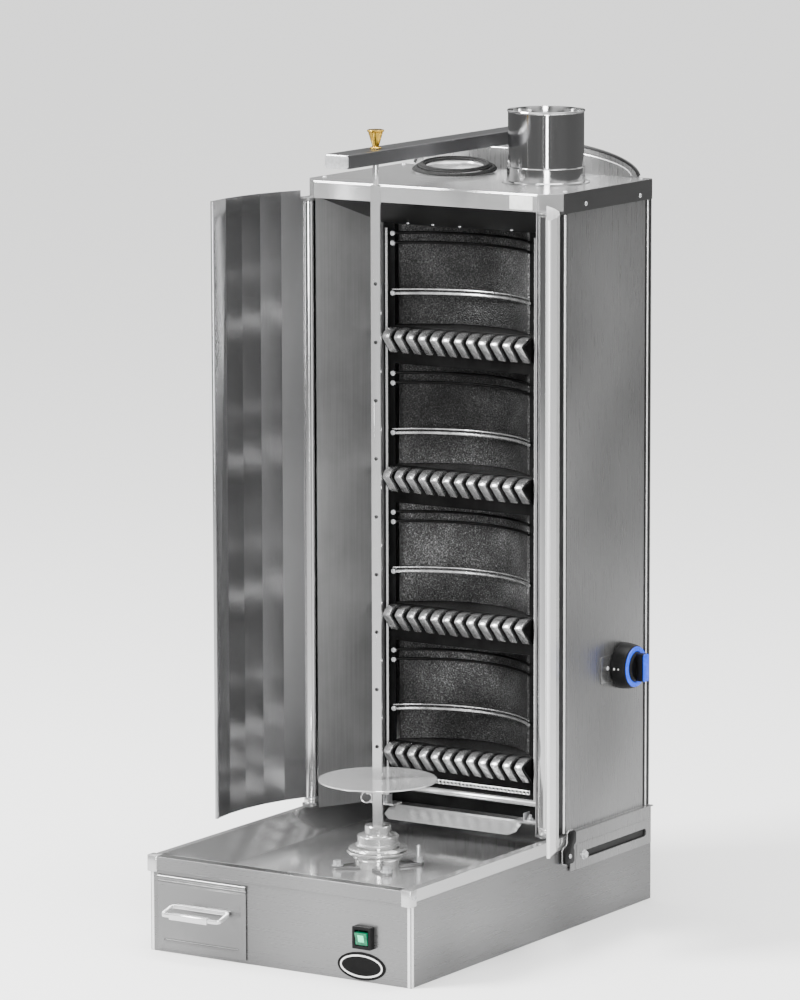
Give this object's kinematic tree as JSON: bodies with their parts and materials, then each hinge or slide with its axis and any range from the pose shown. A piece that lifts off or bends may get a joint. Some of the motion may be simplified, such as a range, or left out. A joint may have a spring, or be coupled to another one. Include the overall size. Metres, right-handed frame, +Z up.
{
  "type": "vertical rotisserie broiler",
  "caption": "Gas tower with stacked burners and two swing wings that slides on a low base with a drip tray, drawer, driven vertical spindle and top arm.",
  "frame": {"origin": "centre of the underside of the base box, on the table", "axes": "+X to the right as the user faces the spindle, +Y towards the back and the gas inlet, +Z up"},
  "size_m": [0.5019, 0.6679, 1.069],
  "materials": {
    "casing_steel": "satin brushed stainless sheet",
    "tray_steel": "light satin stainless",
    "wing_steel": "bright brushed stainless",
    "dark_steel": "heat-darkened stainless",
    "black_baffle": "matt heat-proof black",
    "burner_mesh": "dark radiant mesh",
    "cast_aluminium": "bright turned and cast aluminium",
    "spindle_steel": "bright drawn bar",
    "motor_paint": "dark paint",
    "black_plastic": "matt black moulding",
    "badge_black": "glossy black",
    "rocker_green": "clear green, lit",
    "knob_blue": "glossy blue",
    "brass": "turned brass",
    "gas_pipe": "drawn brass pipe",
    "fastener": "plain steel",
    "duct_steel": "bright rolled stainless"
  },
  "bodies": {
    "base": {"base_shell": "casing_steel", "base_floor": "casing_steel", "drip_tray": "tray_steel", "front_rim": "tray_steel", "drawer_runners": "dark_steel", "switch_bezel": "black_plastic", "badge_plate": "badge_black", "drive_motor": "motor_paint", "gearbox": "motor_paint", "bearing_housing": "cast_aluminium", "bearing": "spindle_steel", "housing_bolts": "fastener", "slide_bolts": "fastener", "cable_gland": "black_plastic", "rear_mast": "dark_steel", "arm_tube": "dark_steel", "arm_end_cap": "tray_steel"},
    "drawer": {"drawer_pan": "casing_steel", "drawer_front": "casing_steel", "drawer_handle": "dark_steel"},
    "rocker": {"switch_rocker": "rocker_green"},
    "spindle": {"output_shaft": "spindle_steel", "spindle_socket": "cast_aluminium", "spindle_bar": "spindle_steel", "meat_disc": "tray_steel", "disc_pin": "fastener"},
    "tower": {"left_side_wall": "casing_steel", "right_side_wall": "casing_steel", "back_panel": "casing_steel", "top_cover": "casing_steel", "front_lintel": "tray_steel", "ceiling_baffle": "black_baffle", "left_cheek": "dark_steel", "right_cheek": "dark_steel", "hinge_rods": "fastener", "hinge_brackets": "fastener", "skirt_shoes": "black_plastic", "burner_frame": "dark_steel", "burner_casings": "dark_steel", "radiant_panel_1": "burner_mesh", "radiant_panel_2": "burner_mesh", "radiant_panel_3": "burner_mesh", "radiant_panel_4": "burner_mesh", "fin_strip_1": "dark_steel", "fin_strip_2": "dark_steel", "fin_strip_3": "dark_steel", "fin_strip_4": "dark_steel", "burner_rods": "dark_steel", "lower_bar": "tray_steel", "guard_plate": "tray_steel", "flue_collar": "duct_steel", "vent_ring": "dark_steel", "gas_manifold": "gas_pipe", "gas_valve": "gas_pipe"},
    "left_wing": {"left_wing": "wing_steel"},
    "right_wing": {"right_wing": "wing_steel"},
    "knob": {"gas_knob": "black_plastic", "knob_ring": "knob_blue"},
    "pin": {"top_pin": "spindle_steel", "brass_knob": "brass"}
  },
  "joints": [
    {"name": "tower_slide", "type": "slide", "parent": "base", "child": "tower", "axis": [0, -1, 0], "range_m": [0, 0.1]},
    {"name": "left_wing_hinge", "type": "hinge", "parent": "tower", "child": "left_wing", "pos_m": [-0.184, 0.052, 0.142], "axis": [0, 0, 1], "range_deg": [-72, 40]},
    {"name": "right_wing_hinge", "type": "hinge", "parent": "tower", "child": "right_wing", "pos_m": [0.184, 0.052, 0.142], "axis": [0, 0, 1], "range_deg": [-64.7, 47]},
    {"name": "knob_turn", "type": "hinge", "parent": "tower", "child": "knob", "pos_m": [0.195, 0.226, 0.331], "axis": [1, 0, 0], "range_deg": [0, 180]},
    {"name": "drawer_slide", "type": "slide", "parent": "base", "child": "drawer", "axis": [0, -1, 0], "range_m": [0, 0.2]},
    {"name": "switch_rock", "type": "hinge", "parent": "base", "child": "rocker", "pos_m": [0.131, -0.302, 0.0585], "axis": [1, 0, 0], "range_deg": [-16, 0]},
    {"name": "spindle_spin", "type": "hinge", "parent": "base", "child": "spindle", "pos_m": [0, -0.067, 0.1], "axis": [0, 0, 1], "continuous": true},
    {"name": "top_pin_lift", "type": "slide", "parent": "base", "child": "pin", "axis": [0, 0, 1], "range_m": [0, 0.03]}
  ]
}
